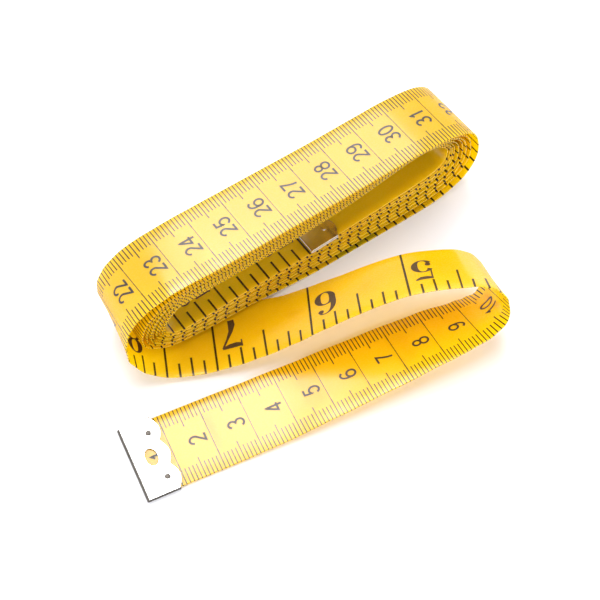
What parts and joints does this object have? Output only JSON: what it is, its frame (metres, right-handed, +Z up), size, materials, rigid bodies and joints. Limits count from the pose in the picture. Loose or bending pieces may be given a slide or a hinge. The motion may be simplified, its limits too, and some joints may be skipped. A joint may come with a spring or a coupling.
{
  "type": "cloth tape measure",
  "caption": "Flexible flat tape measure wound into a flat hank, with a folded metal tip at each end and its free start looped out in front for measuring.",
  "frame": {"origin": "on the table under the middle of the whole object", "axes": "+X along the hank to the right as seen from the looped front, +Y from the looped front to the back of the hank, +Z up"},
  "size_m": [0.1224, 0.0662, 0.0248],
  "materials": {
    "tape": "coated woven cloth, satin, printed with dark graduations",
    "tip": "bright nickel-plated pressed sheet"
  },
  "bodies": {
    "hank": {"tape_tail": "tape", "tape_curl": "tape", "tape_run": "tape", "tape_bend": "tape", "tape_hank": "tape"},
    "lift": {"tape_lift": "tape"},
    "free": {"tape_free": "tape"},
    "start": {"tape_start": "tape", "start_tip": "tip"},
    "inner": {"tape_inner_end": "tape", "end_tip": "tip"}
  },
  "joints": [
    {"name": "lift_fold", "type": "hinge", "parent": "hank", "child": "lift", "pos_m": [-0.00827, -0.01705, 0.00194], "axis": [0.1798, 0.9766, -0.1179], "range_deg": [0, 40]},
    {"name": "free_fold", "type": "hinge", "parent": "lift", "child": "free", "pos_m": [-0.0299, -0.01322, 0.00088], "axis": [0.1795, 0.9837, -0.0128], "range_deg": [0, 50]},
    {"name": "tip_fold", "type": "hinge", "parent": "free", "child": "start", "pos_m": [-0.04858, -0.00979, 0.00075], "axis": [0.1778, 0.9841, 0.0001], "range_deg": [0, 50]},
    {"name": "inner_fold", "type": "hinge", "parent": "hank", "child": "inner", "pos_m": [0.03754, 0.023, 0.01264], "axis": [0, 1, 0], "range_deg": [0, 10]}
  ]
}
